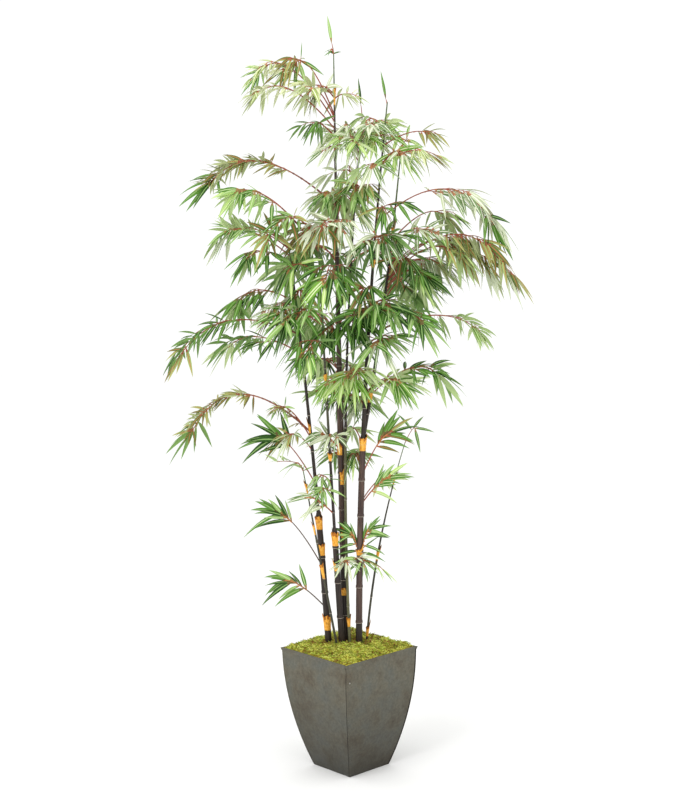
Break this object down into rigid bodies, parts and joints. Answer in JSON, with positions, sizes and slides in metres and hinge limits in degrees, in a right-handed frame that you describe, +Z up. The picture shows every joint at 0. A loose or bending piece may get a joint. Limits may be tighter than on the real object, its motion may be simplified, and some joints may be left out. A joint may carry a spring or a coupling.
{
  "type": "artificial potted black bamboo",
  "caption": "Artificial black bamboo: slender dark culms with arching sprays of leaves, set in moss in a square metal planter that tapers to its foot.",
  "frame": {"origin": "centre of the planter's flat underside", "axes": "+Z up along the culms; -Y towards the viewer of the picture; the planter's four corners lie over the X and Y axes"},
  "size_m": [1.1666, 0.6945, 2.4407],
  "materials": {
    "planter_metal": "dark warm-grey patinated sheet metal, semi-matt, with faint brown blotches",
    "moss": "yellow-green preserved moss with brown bits, matt and tufted",
    "culm": "near-black brown bamboo culm, satin, with pale node rings and amber papery sheaths",
    "bough": "reddish-brown branch, satin",
    "foliage": "printed cloth leaves from dark to bright green with paler undersides"
  },
  "bodies": {
    "root": {"bough_left_long": "bough", "bough_long_left_arch": "bough", "bough_right_long": "bough", "bough_upper_left_arch": "bough", "bough_upper_left_second": "bough", "culm_centre": "culm", "culm_centre_left": "culm", "culm_centre_thin": "culm", "culm_left": "culm", "culm_left_thin": "culm", "culm_right": "culm", "culm_right_fork": "culm", "culm_right_thin": "culm", "foliage_back_left": "foliage", "foliage_back_low": "foliage", "foliage_back_middle": "foliage", "foliage_back_right": "foliage", "foliage_back_upper": "foliage", "foliage_centre_dark": "foliage", "foliage_centre_front": "foliage", "foliage_centre_left_low": "foliage", "foliage_centre_low_front": "foliage", "foliage_centre_pale": "foliage", "foliage_centre_star": "foliage", "foliage_centre_thin_tip": "foliage", "foliage_centre_tip": "foliage", "foliage_left_fan": "foliage", "foliage_left_hanging": "foliage", "foliage_left_long": "foliage", "foliage_left_low_fan": "foliage", "foliage_left_lower_row": "foliage", "foliage_left_middle": "foliage", "foliage_left_upright": "foliage", "foliage_long_left_arch": "foliage", "foliage_lowest_left_fan": "foliage", "foliage_pale_low": "foliage", "foliage_pale_middle": "foliage", "foliage_right_arch_middle": "foliage", "foliage_right_bough": "foliage", "foliage_right_fork_tip": "foliage", "foliage_right_inner": "foliage", "foliage_right_long": "foliage", "foliage_right_low_fan": "foliage", "foliage_right_mid": "foliage", "foliage_right_mid_low": "foliage", "foliage_right_thin_tip": "foliage", "foliage_right_tip": "foliage", "foliage_right_upper_arch": "foliage", "foliage_right_upper_second": "foliage", "foliage_top_centre": "foliage", "foliage_top_centre_right": "foliage", "foliage_top_left_back": "foliage", "foliage_top_left_dark": "foliage", "foliage_top_left_front": "foliage", "foliage_top_right_arm": "foliage", "foliage_top_right_low": "foliage", "foliage_upper_left_arch": "foliage", "foliage_upper_left_second": "foliage", "moss": "moss", "planter": "planter_metal"}
  },
  "joints": []
}
